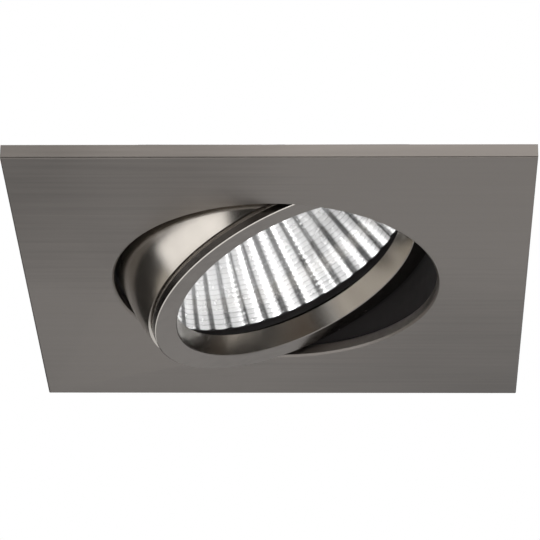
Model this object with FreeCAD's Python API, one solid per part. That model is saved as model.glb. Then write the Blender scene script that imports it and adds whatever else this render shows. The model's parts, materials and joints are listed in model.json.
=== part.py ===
import FreeCAD, Part

import math
import os

Vector = FreeCAD.Vector

# A square recessed downlight with a tilting ball ring, in millimetres.
#
# Origin: centre of the trim plate's back face, which lies against the ceiling. +Z goes up into the
# ceiling, and the light leaves towards -Z. The ring tilts about the Y axis, the spring clips sit at
# -X and +X. Everything inside the ring is drawn level, by its depth behind the ring's front face,
# and is then turned to the angle at which the lamp is shown.

# ---- driving dimensions ----
plate_side = 82.0
plate_thickness = 2.4
plate_edge_round = 0.3
opening_radius = 26.5
opening_bevel = 0.35
cut_out_radius = 35.0          # hole in the ceiling board

pivot_behind_face = 8.4        # pivot axis to the ring's front face
ball_radius = 26.4
shown_tilt = 24.5              # degrees from level
ring_mouth_radius = 21.3
ring_lip_radius = 20.2
lip_depth = 3.4

lamp_radius = 25.0
lamp_front_depth = 5.0
lamp_rim_height = 4.4
glass_depth = 5.9
glass_thickness = 0.9
bowl_edge_radius = 22.3
bowl_edge_depth = 6.8
bowl_rise = 27.0               # from the bowl's edge to its vertex
rib_count = 40
rib_hollow = 0.22              # how far a rib's middle lies outside its ridges
bowl_back_depth = 34.0         # flat end of the bowl, inside the base
neck_radius = 5.0
capsule_radius = 4.4
capsule_front = 15.0
capsule_back = 27.5
base_end_depth = 52.0
pin_spacing = 10.0
pin_neck = (1.3, 2.5)          # radius and length
pin_head = (2.4, 2.4)
clamp_wire_radius = 0.6        # of the ring that holds the lamp

holder_radius = 13.5
holder_height = 11.0
cap_height = 7.5
holder_plate = 2.2             # wall that the pin heads hook behind
chamber_height = 5.2
wire_hole_circle = 5.6
cap_screw_circle = 10.4
holder_twist = 18.0            # degrees from locked to free

drum_gap = 1.0                 # between the ball and the drum that carries it
drum_wall = 1.2
drum_height = 12.0
drum_lip = 0.8
earth_angle = 112.5
earth_circle = 31.0
earth_hole_radius = 1.0
tag_width = 6.3                # of a push-on earth blade
tag_thickness = 0.8
spigot_radius = 1.4            # of the four cast spigots that hold the drum
rivet_radius = 1.0             # of the two pivots
running_gap = 0.05
screw_radius = 1.0             # of the clip brackets' screws
clip_screw_heights = (2.1, 10.7)
bracket_sheet = 0.8
bracket_half_width = 5.6
bracket_floor = 3.9            # underside of the floor between the ears
hinge_pin_radius = 0.95
clip_pin_height = 6.8
clip_pin_reach = 32.1
clip_reach = 25.5              # hinge pin to the tip of a clip
arm_strip = 0.9
arm_half_width = 4.3
arm_below_pin = 1.9            # hinge pin's middle down to the arm's underside
foot_drop = 1.3                # the arm's underside down to the foot's
wire_radius = 0.35             # of the torsion springs
coil_radius = 1.42
coil_turns = 3 + 105 / 360     # ends where the last leg points down onto the arm
coil_pitch = 1.15
drum_leg = 4.2
arm_leg = 7.6

# ---- worked out from them ----
face_z = -plate_thickness
pivot_z = face_z + pivot_behind_face
drum_inside = ball_radius + drum_gap
drum_outside = drum_inside + drum_wall
flange_radius = cut_out_radius - 0.9
seat_radius = cut_out_radius - 0.6
seat_depth = 0.3
flange_thickness = 0.8
flange_top = flange_thickness - seat_depth
pocket_radius = lamp_radius + 0.3
rim_back_depth = lamp_front_depth + lamp_rim_height
ring_back_depth = pivot_behind_face + 6.6
pivot_flat = ball_radius - 0.3          # flat on the ball round each pivot
drum_pad_inside = drum_inside - 0.2     # flat inside the drum, facing it
drum_pad_outside = drum_outside + 0.7
clip_pad_face = drum_outside + drum_lip # flat on the drum that takes a clip bracket
spigot_circle = (drum_outside + flange_radius) / 2
neck_depth = bowl_edge_depth + bowl_rise * (1 - (neck_radius / bowl_edge_radius) ** 2)
clamp_groove_radius = pocket_radius + 0.32
pin_neck_end = base_end_depth + pin_neck[1]
pin_head_end = pin_neck_end + pin_head[1]
holder_front = base_end_depth + 0.1
holder_split = holder_front + holder_height
holder_back = holder_split + cap_height
cap_screw_seat = holder_back - 2.6
chamber_depth = holder_front + holder_plate
chamber_end = chamber_depth + chamber_height

X, Y, Z = Vector(1, 0, 0), Vector(0, 1, 0), Vector(0, 0, 1)
ORIGIN = Vector(0, 0, 0)
PIVOT = Vector(0, 0, pivot_z)


# ---- helpers ----
def box(x0, x1, y0, y1, z0, z1):
    return Part.makeBox(x1 - x0, y1 - y0, z1 - z0, Vector(x0, y0, z0))


def rod(radius, start, direction, length):
    return Part.makeCylinder(radius, length, start, direction)


def fused(shapes):
    whole = shapes[0]
    for shape in shapes[1:]:
        whole = whole.fuse(shape)
    return whole.removeSplitter()


def cut(shape, tools):
    for tool in tools:
        shape = shape.cut(tool)
    return shape


def turned(shape, degrees, axis=Z, centre=ORIGIN):
    copy = shape.copy()
    copy.rotate(centre, axis, degrees)
    return copy


def moved(shape, x=0.0, y=0.0, z=0.0):
    copy = shape.copy()
    copy.translate(Vector(x, y, z))
    return copy


def on_axis(radius, depth):
    """A point of a round part's outline: radius from the lamp axis, depth behind the ring's face."""
    return Vector(radius, 0, face_z + depth)


def straight(points):
    return [Part.LineSegment(a, b).toShape() for a, b in zip(points, points[1:])]


def spun(edges):
    """The solid that a closed outline in the XZ plane sweeps round the Z axis."""
    wire = Part.Wire(Part.__sortEdges__(edges))
    return Part.Face(wire).revolve(ORIGIN, Z, 360)


def ring_of(inner, outer, low, high):
    """A plain ring, or a disc where inner is 0, between two depths."""
    disc = rod(outer, Vector(0, 0, face_z + low), Z, high - low)
    if inner:
        disc = disc.cut(rod(inner, Vector(0, 0, face_z + low - 1), Z, high - low + 2))
    return disc


def arcs_through(radius_at, start, end, count):
    """Arcs that follow radius_at(depth) from one depth to another."""
    step = (end - start) / count
    made = []
    for i in range(count):
        a, b = start + i * step, start + (i + 1) * step
        middle = (a + b) / 2
        ends = [on_axis(radius_at(depth), depth) for depth in (a, middle, b)]
        made.append(Part.Arc(*ends).toShape())
    return made


def tilted(shape):
    """From level to the angle at which the lamp is shown: the -X side comes out of the plate."""
    return turned(shape, -shown_tilt, Y, PIVOT)


def dome_head(radius, height, start, direction):
    """A rivet or screw head: a flat underside and a domed top."""
    ball = (radius ** 2 + height ** 2) / (2 * height)
    centre = start + direction * (height - ball)
    space = rod(radius, start, direction, height)
    return Part.makeSphere(ball, centre).common(space)


# ---- the plate and the drum behind it ----
def spigot_places():
    return [45 + 90 * i for i in range(4)]


def trim_plate():
    half = plate_side / 2
    plate = box(-half, half, -half, half, face_z, 0)
    lower_edges = [e for e in plate.Edges if e.BoundBox.ZMax < face_z + 0.01]
    plate = plate.makeFillet(plate_edge_round, lower_edges)
    hole = rod(opening_radius, Vector(0, 0, face_z - 1), Z, plate_thickness + 2)
    bevel = Part.makeCone(opening_radius + opening_bevel, opening_radius, opening_bevel,
                          Vector(0, 0, face_z), Z)
    back_bevel = Part.makeCone(opening_radius, opening_radius + 0.3, 0.3,
                               Vector(0, 0, -seat_depth - 0.3), Z)
    seat = rod(seat_radius, Vector(0, 0, -seat_depth), Z, 1)
    plate = cut(plate, [hole, bevel, back_bevel, seat])
    root = 0.5
    for angle in spigot_places():
        shank = rod(spigot_radius, Vector(spigot_circle, 0, -seat_depth - root), Z,
                    flange_thickness + root)
        head = dome_head(1.5 * spigot_radius, 0.8, Vector(spigot_circle, 0, flange_top), Z)
        plate = plate.fuse(turned(shank.fuse(head), angle))
    return plate.removeSplitter()


def mounting_drum():
    top = flange_top + drum_height
    outline = [
        Vector(drum_inside, 0, -seat_depth),
        Vector(flange_radius, 0, -seat_depth),
        Vector(flange_radius, 0, flange_top),
        Vector(drum_outside, 0, flange_top),
        Vector(drum_outside, 0, top - drum_lip),
        Vector(drum_outside + drum_lip, 0, top - drum_lip),
        Vector(drum_outside + drum_lip, 0, top),
        Vector(drum_inside, 0, top),
        Vector(drum_inside, 0, -seat_depth),
    ]
    drum = spun(straight(outline))
    bore = rod(drum_inside, Vector(0, 0, -1), Z, drum_height + 3)
    pad_radius, inner_pad_radius, pad_root = 3.6, 3.2, 0.2
    seat_half_width = bracket_half_width + 0.4
    for side, half_turn in ((1, 0), (-1, 180)):
        pad_start = drum_inside + pad_root
        pad = rod(pad_radius, Vector(0, side * pad_start, pivot_z), Y * side,
                  drum_pad_outside - pad_start)
        clip_seat = box(drum_inside, clip_pad_face, -seat_half_width, seat_half_width,
                        flange_top, top - drum_lip)
        drum = drum.fuse(pad.fuse(turned(clip_seat, half_turn).cut(bore)))
    for side in (1, -1):
        inner_pad = rod(inner_pad_radius, Vector(0, side * drum_pad_inside, pivot_z), Y * side, 0.8)
        drum = drum.fuse(inner_pad)
    holes = [rod(rivet_radius, Vector(0, -drum_pad_outside - 1, pivot_z), Y,
                 2 * drum_pad_outside + 2)]
    for angle in spigot_places():
        hole = rod(spigot_radius, Vector(spigot_circle, 0, -1), Z, 3)
        holes.append(turned(hole, angle))
    for angle, z in clip_screw_places():
        screw_hole = rod(screw_radius, Vector(clip_pad_face - 1.7, 0, z), X, 3)
        holes.append(turned(screw_hole, angle))
    earth_hole = rod(earth_hole_radius, Vector(earth_circle, 0, -seat_depth - 1), Z, 3)
    holes.append(turned(earth_hole, earth_angle))
    return cut(drum, holes).removeSplitter()


def pivot_rivets():
    """Two rivets, fixed in the drum, on which the ring tilts."""
    made = []
    inner_end = pocket_radius + 0.15
    head_radius, head_height = 2.3, 1.0
    for side in (1, -1):
        shank = rod(rivet_radius, Vector(0, side * inner_end, pivot_z), Y * side,
                    drum_pad_outside - inner_end)
        head = dome_head(head_radius, head_height, Vector(0, side * drum_pad_outside, pivot_z),
                         Y * side)
        made.append(shank.fuse(head).removeSplitter())
    return Part.makeCompound(made)


def friction_washers():
    """One washer on each rivet, between the drum and the ball: it makes the ring stay put."""
    washer_radius = 2.7
    thickness = drum_pad_inside - pivot_flat - 0.1
    made = []
    for side in (1, -1):
        start = Vector(0, side * drum_pad_inside, pivot_z)
        washer = rod(washer_radius, start, Y * -side, thickness)
        made.append(washer.cut(rod(rivet_radius + running_gap, start, Y * -side, thickness)))
    return Part.makeCompound(made)


# ---- earth terminal on the drum's flange ----
def earth_tag():
    """A push-on blade, bent up at the flange's edge, with a latch hole and a narrower tip."""
    half, inner, outer = tag_width / 2, 29.2, 33.6
    blade_height, tip_height, tip_half, latch_height = 8.6, 1.0, 1.9, 5.4
    blade_face = outer - tag_thickness
    blade_top = flange_top + blade_height
    strip = box(inner, outer, -half, half, flange_top, flange_top + tag_thickness)
    blade = box(blade_face, outer, -half, half, flange_top, blade_top)
    shoulders = [box(blade_face - 1, outer + 1, *sides, blade_top - tip_height, blade_top + 1)
                 for sides in ((-half - 1, -tip_half), (tip_half, half + 1))]
    latch_hole = rod(0.8, Vector(blade_face - 1, 0, flange_top + latch_height), X, 3)
    rivet_hole = rod(earth_hole_radius, Vector(earth_circle, 0, 0), Z, 4)
    tag = cut(fused([strip, blade]), shoulders + [latch_hole, rivet_hole])
    return turned(tag, earth_angle)


def earth_rivet():
    shank = rod(earth_hole_radius, Vector(earth_circle, 0, -seat_depth), Z,
                flange_thickness + tag_thickness)
    head = dome_head(1.7, 0.8, Vector(earth_circle, 0, flange_top + tag_thickness), Z)
    return turned(shank.fuse(head).removeSplitter(), earth_angle)


# ---- spring clips, drawn on the +X side ----
def clip_screw_places():
    return [(side, z) for side in (0, 180) for z in clip_screw_heights]


def clip_bracket():
    """A channel of folded sheet: a base on the drum, two ears for the hinge pin and a floor."""
    sheet, half, nose = bracket_sheet, bracket_half_width, 2.1
    floor_end = clip_pin_reach + 1.2
    base = box(clip_pad_face, clip_pad_face + sheet, -half, half, flange_top, flange_top + 12)
    floor = box(clip_pad_face, floor_end, -half, half, bracket_floor, bracket_floor + sheet)
    leg_way = box(clip_pad_face + sheet, clip_pin_reach - 0.7, -3.4, -1.2,
                  bracket_floor - 1, bracket_floor + sheet + 1)
    ears = []
    for y in (-half, half - sheet):
        plate = box(clip_pad_face, clip_pin_reach, y, y + sheet, bracket_floor,
                    clip_pin_height + nose)
        round_end = rod(nose, Vector(clip_pin_reach, y, clip_pin_height), Y, sheet)
        lower = box(clip_pin_reach, floor_end, y, y + sheet, bracket_floor, clip_pin_height)
        ears.append(plate.fuse(round_end).fuse(lower))
    bracket = fused([base, floor.cut(leg_way)] + ears)
    holes = [rod(hinge_pin_radius, Vector(clip_pin_reach, -half - 1, clip_pin_height), Y,
                 2 * half + 2)]
    for z in clip_screw_heights:
        holes.append(rod(screw_radius, Vector(clip_pad_face - 1, 0, z), X, 4))
    return cut(bracket, holes)


def bracket_screws():
    """Two slotted screws through each bracket's base into the drum."""
    start, grip = clip_pad_face + bracket_sheet, 2.5
    head_radius, head_height = 1.5, 0.9
    slot_floor, slot_half = start + head_height / 2, 0.2
    made = []
    for angle, z in clip_screw_places():
        shank = rod(screw_radius, Vector(start - grip, 0, z), X, grip)
        head = dome_head(head_radius, head_height, Vector(start, 0, z), X)
        slot = box(slot_floor, slot_floor + 2, -2, 2, z - slot_half, z + slot_half)
        made.append(turned(shank.fuse(head).removeSplitter().cut(slot), angle))
    return Part.makeCompound(made)


def clip_pin():
    """Hinge pin with a head at one end and an upset end at the other."""
    half = bracket_half_width
    shank = rod(hinge_pin_radius, Vector(clip_pin_reach, -half, clip_pin_height), Y, 2 * half)
    head = dome_head(1.6, 0.5, Vector(clip_pin_reach, half, clip_pin_height), Y)
    tail = dome_head(1.4, 0.5, Vector(clip_pin_reach, -half, clip_pin_height), -Y)
    return fused([shank, head, tail])


def clip_arm():
    """A sprung strip: two knuckles round the pin, a long arm and a foot that bends down."""
    strip, half_width = arm_strip, arm_half_width
    low, foot_low = -arm_below_pin, -arm_below_pin - foot_drop
    tip = clip_reach - 0.4
    outline = [
        Vector(0, 0, low),
        Vector(clip_reach - 7.0, 0, low),
        Vector(clip_reach - 4.2, 0, foot_low),
        Vector(tip, 0, foot_low),
        Vector(tip, 0, foot_low + strip),
        Vector(clip_reach - 4.0, 0, foot_low + strip),
        Vector(clip_reach - 6.8, 0, low + strip),
        Vector(0, 0, low + strip),
        Vector(0, 0, low),
    ]
    arm = Part.Face(Part.Wire(straight(outline))).extrude(Y * (2 * half_width))
    arm.translate(Y * -half_width)
    knuckles = rod(arm_below_pin, Vector(0, -half_width, 0), Y, 2 * half_width)
    bead_radius, bead_start = 1.1, 6.5
    bead = rod(bead_radius, Vector(bead_start, 0, low + strip - 0.65), X, clip_reach - 15.5)
    bead = bead.common(box(0, clip_reach, -3, 3, low + 0.1, 2))
    arm = fused([arm, knuckles, bead])
    coil_notch = box(-3, 2.7, -2.65, 2.65, -3, 3)
    bore = rod(hinge_pin_radius + running_gap, Vector(0, -half_width - 1, 0), Y,
               2 * half_width + 2)
    arm = cut(arm, [coil_notch, bore])
    return moved(arm, clip_pin_reach, 0, clip_pin_height)


def clip_pad():
    """A soft sleeve pushed over the foot, so the clip grips the board without cutting it."""
    wall_above, wall_beside, wall_ahead, sleeve_length = 0.7, 0.6, 0.4, 4.0
    middle = clip_pin_height - arm_below_pin - foot_drop + arm_strip / 2
    tip = clip_pin_reach + clip_reach
    half_width, half_height = arm_half_width + wall_beside, arm_strip / 2 + wall_above
    block = box(tip - sleeve_length, tip, -half_width, half_width,
                middle - half_height, middle + half_height)
    long_edges = [e for e in block.Edges if e.BoundBox.YLength > half_width]
    block = block.makeFillet(0.9, long_edges)
    foot = box(tip - sleeve_length - 1, tip - wall_ahead, -arm_half_width, arm_half_width,
               middle - arm_strip / 2, middle + arm_strip / 2)
    return block.cut(foot)


def coil_point(turn):
    """A point of the coil, wound round the Y axis from the drum's side of the pin."""
    angle = 2 * math.pi * turn
    return Vector(-coil_radius * math.cos(angle), coil_pitch * (turn - coil_turns / 2),
                  coil_radius * math.sin(angle))


def least_coil_gap():
    steps = 48
    points = [coil_point(i / steps) for i in range(int(steps * coil_turns) + 1)]
    apart = [(a - b).Length for i, a in enumerate(points) for b in points[i + steps // 2:]]
    return min(apart) - 2 * wire_radius


def clip_spring():
    """One unbroken wire: a leg down the drum, the coil round the pin, a leg out onto the arm."""
    steps = int(math.ceil(coil_turns * 4))
    arcs = []
    for i in range(steps):
        ends = [coil_point((i + part) * coil_turns / steps) for part in (0, 0.5, 1)]
        arcs.append(Part.Arc(*ends).toShape())
    first, last = arcs[0], arcs[-1]
    away = first.tangentAt(first.FirstParameter) * -1
    onward = last.tangentAt(last.LastParameter)
    foot = coil_point(0) + away * drum_leg
    leg_in = Part.LineSegment(foot, coil_point(0)).toShape()
    leg_out = Part.LineSegment(coil_point(coil_turns), coil_point(coil_turns) + onward * arm_leg)
    path = Part.Wire([leg_in] + arcs + [leg_out.toShape()])
    section = Part.Wire(Part.Circle(foot, away, wire_radius).toShape())
    spring = path.makePipeShell([section], True, False)
    return moved(spring, clip_pin_reach, 0, clip_pin_height)


# ---- the tilting ring ----
def ball_at(depth):
    behind = pivot_behind_face - depth
    return math.sqrt(ball_radius ** 2 - behind ** 2)


def tilt_ring():
    """A ball-sided ring: front face, polished mouth, lip, lamp pocket and wire groove."""
    rim_step, rim_groove = 1.4, 1.8
    rim_radius = ball_at(0) + 0.1
    groove_top = rim_back_depth + 2 * clamp_wire_radius + 0.05
    inside = [
        on_axis(ball_at(0), 0),
        on_axis(ring_mouth_radius, 0),
        on_axis(ring_lip_radius, lip_depth),
        on_axis(ring_lip_radius + 0.5, lip_depth + 0.3),
        on_axis(lamp_radius - 1.5, lip_depth + 0.3),
        on_axis(lamp_radius - 1.5, lamp_front_depth),
        on_axis(pocket_radius, lamp_front_depth),
        on_axis(pocket_radius, rim_back_depth - 0.05),
        on_axis(clamp_groove_radius, rim_back_depth - 0.05),
        on_axis(clamp_groove_radius, groove_top),
        on_axis(pocket_radius, groove_top),
        on_axis(pocket_radius, ring_back_depth),
        on_axis(ball_radius - 0.5, ring_back_depth),
        on_axis(ball_radius, ring_back_depth - 0.8),
        on_axis(ball_radius, pivot_behind_face),
    ]
    front = [
        on_axis(ball_at(rim_groove), rim_groove),
        on_axis(rim_radius - 0.3, rim_groove - 0.05),
        on_axis(rim_radius - 0.3, rim_step + 0.05),
        on_axis(rim_radius, rim_step),
        on_axis(rim_radius, 0.15),
        on_axis(ball_at(0), 0),
    ]
    side = arcs_through(ball_at, rim_groove, pivot_behind_face, 1)
    ring = spun(straight(inside) + side + straight(front))
    for way in (1, -1):
        flat = rod(3.1, Vector(0, way * pivot_flat, pivot_z), Y * way, 3)
        bore = rod(rivet_radius + running_gap, Vector(0, way * 20, pivot_z), Y * way, 10)
        ring = cut(ring, [flat, bore])
    return tilted(ring)


# ---- the lamp ----
def bowl_at(depth):
    """Radius of the bowl's inner face: a paraboloid."""
    return bowl_edge_radius * math.sqrt(1 - (depth - bowl_edge_depth) / bowl_rise)


def bowl_back_at(depth):
    back_rise = 27.9
    return (lamp_radius - 0.8) * math.sqrt(1 - (depth - rim_back_depth) / back_rise)


def rib_section(depth):
    """One turn round the bowl: a ridge between each two ribs, each rib hollow in its middle."""
    radius = bowl_at(depth)
    hollow = rib_hollow * radius / bowl_edge_radius
    points = []
    for i in range(2 * rib_count + 1):
        angle = math.pi * i / rib_count
        reach = radius + (hollow if i % 2 else 0)
        points.append(Vector(reach * math.cos(angle), reach * math.sin(angle), face_z + depth))
    points[-1] = points[0]
    return Part.makePolygon(points)


def lamp_reflector():
    """The glass bowl: plain outside, with narrow ribs inside that run to the neck."""
    shoulder = bowl_back_at(rim_back_depth)
    outline = [
        on_axis(0, bowl_back_depth),
        on_axis(0, lamp_front_depth),
        on_axis(lamp_radius - 0.3, lamp_front_depth),
        on_axis(lamp_radius, lamp_front_depth + 0.3),
        on_axis(lamp_radius, rim_back_depth - 0.3),
        on_axis(lamp_radius - 0.3, rim_back_depth),
        on_axis(shoulder, rim_back_depth),
    ]
    back = arcs_through(bowl_back_at, rim_back_depth, bowl_back_depth, 3)
    end = straight([on_axis(bowl_back_at(bowl_back_depth), bowl_back_depth),
                    on_axis(0, bowl_back_depth)])
    bowl = spun(straight(outline) + back + end)
    glass_seat = ring_of(0, bowl_edge_radius + 0.5, lamp_front_depth - 1, bowl_edge_depth)
    neck = ring_of(0, neck_radius, neck_depth - 1, bowl_back_depth + 1)
    levels = 7
    depths = [bowl_edge_depth + (neck_depth - bowl_edge_depth) * i / levels
              for i in range(levels + 1)]
    ribs = Part.makeLoft([rib_section(depth) for depth in depths], True, True)
    return tilted(cut(bowl, [glass_seat, ribs, neck]))


def lamp_front_glass():
    radius = bowl_edge_radius + 0.45
    back = glass_depth + glass_thickness
    outline = [
        on_axis(0, glass_depth),
        on_axis(radius - 0.25, glass_depth),
        on_axis(radius, glass_depth + 0.25),
        on_axis(radius, back),
        on_axis(0, back),
        on_axis(0, glass_depth),
    ]
    return tilted(spun(straight(outline)))


def lamp_capsule():
    """The quartz capsule on its pinched stem, held in the lamp's neck."""
    body = ring_of(0, capsule_radius, capsule_front + capsule_radius, capsule_back)
    dome = Part.makeSphere(capsule_radius, on_axis(0, capsule_front + capsule_radius))
    stem_end = face_z + bowl_back_depth + 2
    stem = box(-1.4, 1.4, -3.6, 3.6, face_z + capsule_back - 0.5, stem_end)
    return tilted(fused([body, dome, stem]))


def base_block(low, high):
    """The flat-sided block that carries the pins."""
    half_x, half_y, corner = 6.8, 9.6, 3.4
    block = box(-half_x, half_x, -half_y, half_y, face_z + low, face_z + high)
    upright = [e for e in block.Edges if e.BoundBox.ZLength > (high - low) * 0.9]
    return block.makeFillet(corner, upright)


def lamp_base():
    """The ceramic base, cemented round the bowl's neck, with grooves down its flat sides."""
    collar_radius, collar_front, block_front = 9.7, 31.0, 37.0
    groove_radius, groove_reach, groove_pitch = 0.9, 7.2, 4.2
    groove_front, groove_length = 40.5, 9.0
    collar = ring_of(0, collar_radius, collar_front, block_front + 1)
    base = fused([collar, base_block(block_front, base_end_depth)])
    for x in (-groove_reach, groove_reach):
        for y in (-groove_pitch, 0, groove_pitch):
            groove = rod(groove_radius, Vector(x, y, face_z + groove_front), Z, groove_length)
            base = base.cut(groove)
    stem_hole = box(-1.5, 1.5, -3.7, 3.7, face_z + collar_front - 1,
                    face_z + bowl_back_depth + 2)
    return tilted(base.cut(stem_hole)).cut(lamp_envelope())


def lamp_envelope():
    """The bowl's back as a plain solid, which the base fits round."""
    front = 20.0
    back = arcs_through(bowl_back_at, front, bowl_back_depth, 2)
    ends = straight([on_axis(bowl_back_at(bowl_back_depth), bowl_back_depth),
                     on_axis(0, bowl_back_depth), on_axis(0, front),
                     on_axis(bowl_back_at(front), front)])
    return tilted(spun(back + ends))


def lamp_pins():
    """Two headed pins, which a part turn locks in the holder."""
    made = []
    for side in (1, -1):
        y = side * pin_spacing / 2
        neck = rod(pin_neck[0], Vector(0, y, face_z + base_end_depth), Z, pin_neck[1])
        head = rod(pin_head[0], Vector(0, y, face_z + pin_neck_end), Z, pin_head[1])
        head = head.makeChamfer(0.4, [head.Edges[0], head.Edges[2]])
        made.append(neck.fuse(head))
    return tilted(Part.makeCompound(made))


def lamp_clamp_wire():
    """A sprung wire ring behind the lamp's rim, with two ears to squeeze it by."""
    circle = clamp_groove_radius - clamp_wire_radius - 0.05
    middle = rim_back_depth + clamp_wire_radius
    gap, ear_length, ear_inset = 26.0, 3.9, 0.35
    hoop = Part.makeTorus(circle, clamp_wire_radius, on_axis(0, middle), Z, 0, 360, 360 - gap)
    shapes = [turned(hoop, gap / 2)]
    for angle in (gap / 2, -gap / 2):
        end, foot = on_axis(circle, middle), on_axis(circle - ear_inset, middle)
        ear = rod(clamp_wire_radius, foot, Z, ear_length)
        bend = rod(clamp_wire_radius, foot, X, ear_inset)
        rounded = [Part.makeSphere(clamp_wire_radius, p) for p in (end, foot, foot + Z * ear_length)]
        shapes.append(turned(fused([ear, bend] + rounded), angle))
    return tilted(fused(shapes))


# ---- the lampholder ----
def arc_slot(half_width, low, high):
    """The way a pin takes in the holder, from its locked place back through the twist."""
    centre = pin_spacing / 2
    inner, outer = centre - half_width, centre + half_width
    height = high - low
    start = Vector(0, 0, face_z + low)
    band = Part.makeCylinder(outer, height, start, Z, holder_twist)
    band = turned(band.cut(rod(inner, start - Z, Z, height + 2)), -holder_twist)
    locked = rod(half_width, start + X * centre, Z, height)
    return fused([band, locked, turned(locked, -holder_twist)])


def both_pins(shape):
    """Turned so that one copy meets each pin, which stand along Y."""
    return [turned(shape, 90), turned(shape, 270)]


def holder_flats(low, high):
    """What the two flats on the holder's sides take off."""
    side = box(holder_radius - 1.6, holder_radius + 1, -8, 8, face_z + low, face_z + high)
    return both_pins(side)


def end_rim(shape, depth):
    """The round edges of a disc's face at one depth."""
    return [e for e in shape.Edges if e.BoundBox.ZLength < 0.01
            and abs(e.BoundBox.ZMin - (face_z + depth)) < 0.01]


def holder_body():
    """The ceramic front of the lampholder, with a keyhole slot and a chamber for each pin."""
    body = ring_of(0, holder_radius, holder_front, holder_split)
    body = body.makeFillet(1.0, end_rim(body, holder_front))
    neck_slot, head_room = pin_neck[0] + 0.3, pin_head[0] + 0.35
    keyhole = rod(head_room, on_axis(pin_spacing / 2, holder_front - 1), Z, holder_plate + 2)
    barrel_way = rod(1.5, on_axis(wire_hole_circle, chamber_end - 1), Z, holder_split)
    middle = -holder_twist / 2
    tools = both_pins(arc_slot(neck_slot, holder_front - 1, chamber_depth + 0.5))
    tools += both_pins(turned(keyhole, -holder_twist))
    tools += both_pins(arc_slot(head_room, chamber_depth, chamber_end))
    tools += both_pins(turned(barrel_way, middle))
    tools += holder_flats(holder_front - 1, holder_split + 1)
    for angle in (0, 180):
        screw_way = rod(1.1, on_axis(cap_screw_circle, holder_split - 4.0), Z, 6)
        tools.append(turned(screw_way, angle))
    return tilted(cut(body, tools))


def holder_contacts():
    """Two folded brass strips that spring onto the pin heads, each with a barrel for its wire."""
    strip, half_width = 0.4, 1.8
    roof, press = face_z + chamber_end, face_z + pin_head_end + 0.3
    inner, outer = 3.2, 7.4
    outline = [
        Vector(inner + 0.8, -half_width, roof),
        Vector(outer, -half_width, roof),
        Vector(outer, -half_width, press),
        Vector(inner, -half_width, press),
        Vector(inner, -half_width, press + strip),
        Vector(outer - strip, -half_width, press + strip),
        Vector(outer - strip, -half_width, roof - strip),
        Vector(inner + 0.8, -half_width, roof - strip),
        Vector(inner + 0.8, -half_width, roof),
    ]
    leaf = Part.Face(Part.Wire(straight(outline))).extrude(Y * (2 * half_width))
    barrel = ring_of(0, 1.4, chamber_end - 0.2, holder_split + 3.0)
    bore = ring_of(0, 1.1, chamber_end + 0.4, holder_split + 4.0)
    contact = leaf.fuse(moved(barrel.cut(bore), wire_hole_circle))
    contact = turned(contact.removeSplitter(), -holder_twist / 2)
    return tilted(Part.makeCompound(both_pins(contact)))


def holder_cap():
    """The cap over the contacts, with a bell-mouthed way in for each supply wire."""
    cap = ring_of(0, holder_radius, holder_split, holder_back)
    cap = cap.makeFillet(2.6, end_rim(cap, holder_back))
    wire_way = rod(1.7, on_axis(wire_hole_circle, holder_split - 1), Z, cap_height + 2)
    mouth = Part.makeCone(1.7, 2.7, 1.0, on_axis(wire_hole_circle, holder_back - 1.0), Z)
    tools = both_pins(turned(wire_way.fuse(mouth), -holder_twist / 2))
    tools += holder_flats(holder_split - 1, holder_back + 1)
    for angle in (0, 180):
        screw_way = rod(1.1, on_axis(cap_screw_circle, holder_split - 1), Z, cap_height + 2)
        head_seat = rod(2.2, on_axis(cap_screw_circle, cap_screw_seat), Z, 6)
        tools.append(turned(screw_way.fuse(head_seat), angle))
    return tilted(cut(cap, tools))


def holder_screws():
    """Two screws that hold the cap on the holder."""
    made = []
    for angle in (0, 180):
        start = on_axis(cap_screw_circle, holder_split - 3.5)
        shank = rod(1.05, start, Z, cap_screw_seat - holder_split + 3.5)
        head = dome_head(2.0, 1.3, on_axis(cap_screw_circle, cap_screw_seat), Z)
        slot_floor = face_z + cap_screw_seat + 0.7
        slot = box(8, 13, -0.25, 0.25, slot_floor, slot_floor + 2)
        made.append(turned(fused([shank, head]).cut(slot), angle))
    return tilted(Part.makeCompound(made))


# ---- build ----
def on_both_sides(name, shape):
    """A clip piece on the right, and the same piece turned half round for the left."""
    return {name + "_right": shape, name + "_left": turned(shape, 180)}


def pieces():
    made = {
        "trim_plate": trim_plate(),
        "mounting_drum": mounting_drum(),
        "pivot_rivets": pivot_rivets(),
        "friction_washers": friction_washers(),
        "earth_tag": earth_tag(),
        "earth_rivet": earth_rivet(),
        "bracket_screws": bracket_screws(),
        "tilt_ring": tilt_ring(),
        "lamp_reflector": lamp_reflector(),
        "lamp_front_glass": lamp_front_glass(),
        "lamp_capsule": lamp_capsule(),
        "lamp_base": lamp_base(),
        "lamp_pins": lamp_pins(),
        "lamp_clamp_wire": lamp_clamp_wire(),
        "holder_body": holder_body(),
        "holder_contacts": holder_contacts(),
        "holder_cap": holder_cap(),
        "holder_screws": holder_screws(),
    }
    made.update(on_both_sides("clip_bracket", clip_bracket()))
    made.update(on_both_sides("clip_pin", clip_pin()))
    made.update(on_both_sides("clip_arm", clip_arm()))
    made.update(on_both_sides("clip_pad", clip_pad()))
    made.update(on_both_sides("clip_spring", clip_spring()))
    return made


def main():
    os.makedirs("parts", exist_ok=True)
    for name, shape in pieces().items():
        solids = shape.Solids
        if not solids or not shape.isValid():
            raise ValueError(name + " isn't a valid solid")
        shape.exportStep("parts/" + name + ".step")
        volume = sum(s.Volume for s in solids)
        print(name, len(solids), "solids,", round(volume, 1), "mm3")
    print("least gap between turns of a clip spring:", round(least_coil_gap(), 2), "mm")


main()
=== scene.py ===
import json
import math

import bmesh
import bpy
from mathutils import Matrix, Vector


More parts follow.
